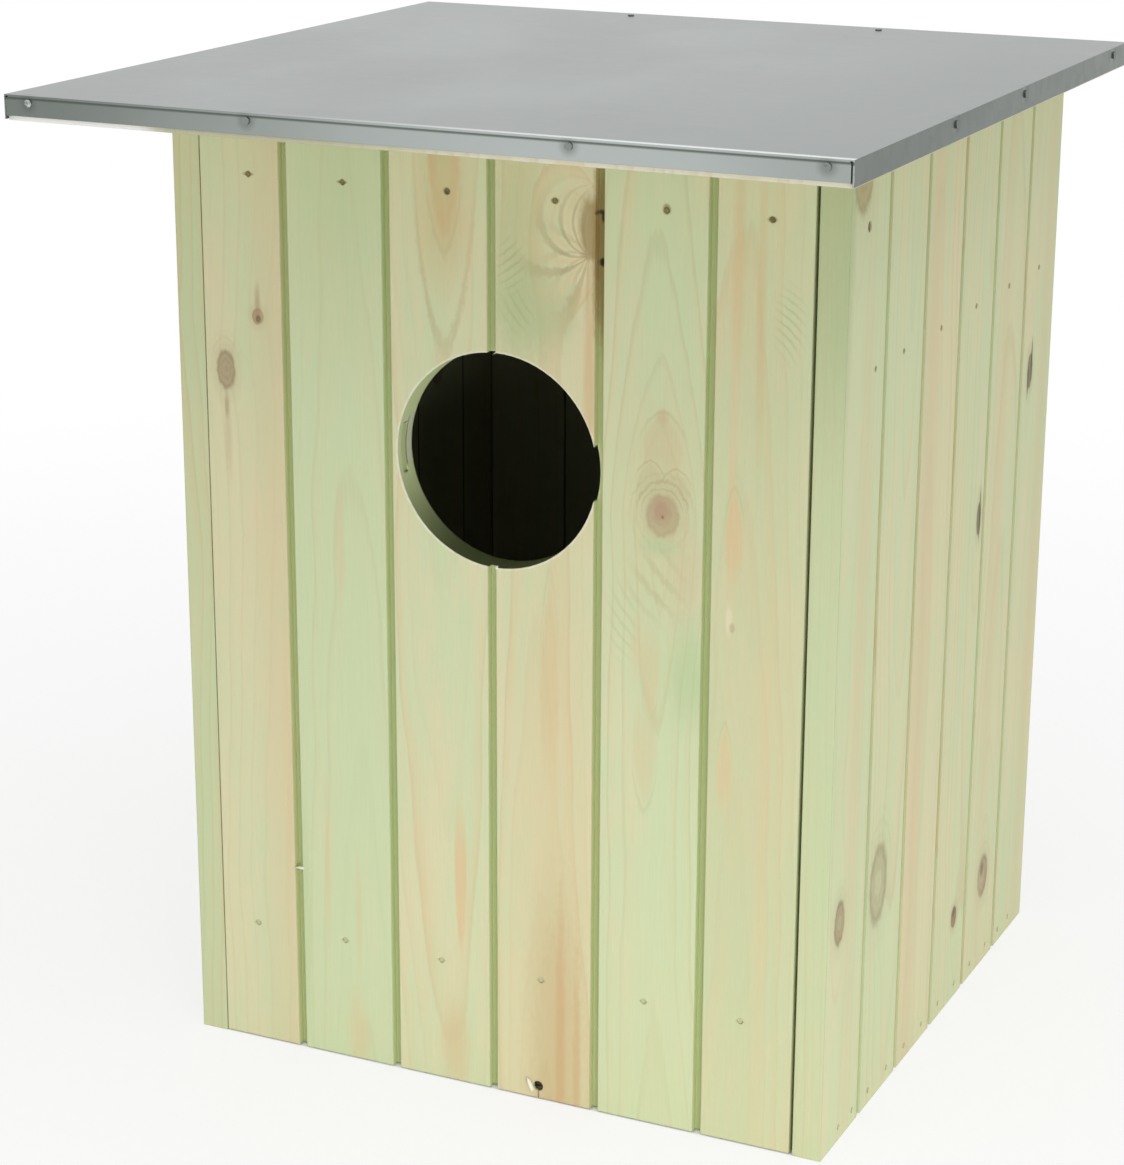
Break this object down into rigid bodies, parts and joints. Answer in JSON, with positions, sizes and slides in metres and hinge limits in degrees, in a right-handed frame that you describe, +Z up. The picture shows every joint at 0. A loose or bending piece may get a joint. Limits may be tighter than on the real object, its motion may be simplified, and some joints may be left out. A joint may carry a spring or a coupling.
{
  "type": "owl nest box",
  "caption": "Upright timber nest box of tongue-and-groove boards with a round entrance, a swing-out front and a flat sheet-metal roof with a front overhang.",
  "frame": {"origin": "on the ground, below the middle of the roof's outline", "axes": "+X to the right seen from the front, +Y towards the back wall, +Z up along the boards"},
  "size_m": [0.5106, 0.517, 0.6196],
  "materials": {
    "treated_pine": "planed, pressure-treated",
    "pine_battens": "sawn, pressure-treated",
    "roof_plywood": "plywood, untreated face",
    "galvanised_sheet": "dull galvanised",
    "steel_fixings": "zinc-plated"
  },
  "bodies": {
    "box": {"right_board_1": "treated_pine", "right_board_2": "treated_pine", "right_board_3": "treated_pine", "right_board_4": "treated_pine", "right_board_5": "treated_pine", "right_board_6": "treated_pine", "right_batten": "pine_battens", "right_nails": "steel_fixings", "left_board_1": "treated_pine", "left_board_2": "treated_pine", "left_board_3": "treated_pine", "left_board_4": "treated_pine", "left_board_5": "treated_pine", "left_board_6": "treated_pine", "left_batten": "pine_battens", "left_nails": "steel_fixings", "back_board_1": "treated_pine", "back_board_2": "treated_pine", "back_board_3": "treated_pine", "back_board_4": "treated_pine", "back_board_5": "treated_pine", "back_board_6": "treated_pine", "back_batten": "pine_battens", "back_nails": "steel_fixings", "floor_board_1": "treated_pine", "floor_board_2": "treated_pine", "floor_board_3": "treated_pine", "floor_board_4": "treated_pine", "floor_board_5": "treated_pine", "floor_board_6": "treated_pine", "roof_board": "roof_plywood", "roof_board_nails": "steel_fixings", "roof_sheet": "galvanised_sheet", "roof_sheet_nails": "steel_fixings", "right_pivot_pin": "steel_fixings", "left_pivot_pin": "steel_fixings"},
    "front": {"front_board_1": "treated_pine", "front_board_2": "treated_pine", "front_board_3": "treated_pine", "front_board_4": "treated_pine", "front_board_5": "treated_pine", "front_board_6": "treated_pine", "front_top_batten": "pine_battens", "front_bottom_batten": "pine_battens", "front_nails": "steel_fixings"},
    "lock_screw": {"lock_screw": "steel_fixings"}
  },
  "joints": [
    {"name": "front_swing", "type": "hinge", "parent": "box", "child": "front", "pos_m": [0, -0.117, 0.5585], "axis": [-1, 0, 0], "range_deg": [0, 90]},
    {"name": "lock_screw_draw", "type": "slide", "parent": "front", "child": "lock_screw", "axis": [0, -1, 0], "range_m": [0, 0.03]}
  ]
}
